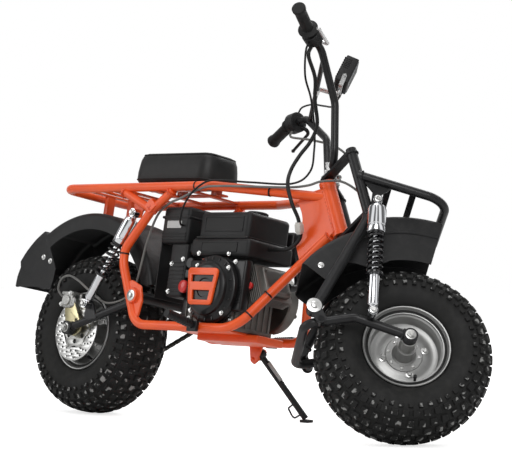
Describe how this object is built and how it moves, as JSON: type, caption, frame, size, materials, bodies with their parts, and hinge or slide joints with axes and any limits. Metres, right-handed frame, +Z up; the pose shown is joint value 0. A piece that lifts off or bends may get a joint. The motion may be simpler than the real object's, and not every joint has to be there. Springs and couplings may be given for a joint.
{
  "type": "motorcycle",
  "caption": "Small fat-tyred motorcycle with tube frame, leading-link fork, racks and a single-cylinder engine, leaning on its side stand.",
  "frame": {"origin": "middle of the floor under the parked machine's bounding box", "axes": "+X towards the front wheel along the machine, +Y towards its left side, +Z up; the machine leans to +Y on its side stand"},
  "size_m": [1.737, 0.612, 1.2004],
  "materials": {
    "frame_paint": "gloss orange-red paint",
    "black_paint": "satin black paint",
    "black_plastic": "grained black plastic",
    "tyre": "dusty matte rubber",
    "rubber": "matte",
    "steel": "zinc plated",
    "rim": "silver paint",
    "chrome": "polished",
    "cast": "as cast",
    "vinyl": "black vinyl"
  },
  "bodies": {
    "chassis": {"air_box": "black_plastic", "brake_caliper": "steel", "brake_hose": "rubber", "cylinder_head": "cast", "drive_chain": "steel", "drive_cover": "cast", "engine_bed": "frame_paint", "engine_block": "cast", "footpeg_left": "black_paint", "footpeg_right": "black_paint", "frame_loop_left": "frame_paint", "frame_loop_right": "frame_paint", "frame_neck": "frame_paint", "frame_rails": "frame_paint", "muffler": "black_paint", "pivot_bolt": "steel", "rear_axle": "steel", "rear_fender": "black_plastic", "rear_shock_left": "chrome", "rear_shock_right": "chrome", "recoil_badge": "frame_paint", "recoil_housing": "black_plastic", "seat": "vinyl", "swing_arm": "black_paint", "throttle_cable": "rubber", "top_cover": "black_plastic", "wiring_loom": "rubber"},
    "steering": {"bar_clamp": "chrome", "control_left": "black_plastic", "control_right": "black_plastic", "fork": "black_paint", "front_axle": "steel", "front_fender": "black_plastic", "front_rack": "black_paint", "front_shock_left": "chrome", "front_shock_right": "chrome", "grip_left": "rubber", "grip_right": "rubber", "handlebar": "black_paint", "headlight": "black_plastic", "lamp_lead": "rubber", "leading_link": "black_paint"},
    "front_wheel": {"front_rim": "rim", "front_tyre": "tyre"},
    "rear_wheel": {"brake_disc": "steel", "rear_rim": "rim", "rear_sprocket": "steel", "rear_tyre": "tyre"},
    "stand": {"side_stand": "black_paint"}
  },
  "joints": [
    {"name": "steering", "type": "hinge", "parent": "chassis", "child": "steering", "pos_m": [0.59407, -0.05046, 0.25412], "axis": [-0.4834, 0.1648, 0.8598], "range_deg": [-101.8, 0], "deforming": ["brake_hose", "throttle_cable", "wiring_loom"]},
    {"name": "front_wheel_spin", "type": "hinge", "parent": "steering", "child": "front_wheel", "pos_m": [0.65627, 0.00561, 0.23053], "axis": [-0.6794, 0.5488, -0.4871], "continuous": true},
    {"name": "rear_wheel_spin", "type": "hinge", "parent": "chassis", "child": "rear_wheel", "pos_m": [-0.53385, -0.05307, 0.24048], "axis": [0, 0.9821, -0.1882], "continuous": true},
    {"name": "side_stand", "type": "hinge", "parent": "chassis", "child": "stand", "pos_m": [0.0013, 0.11418, 0.19935], "axis": [0.1324, 0.8236, 0.5515], "range_deg": [0, 96]}
  ]
}
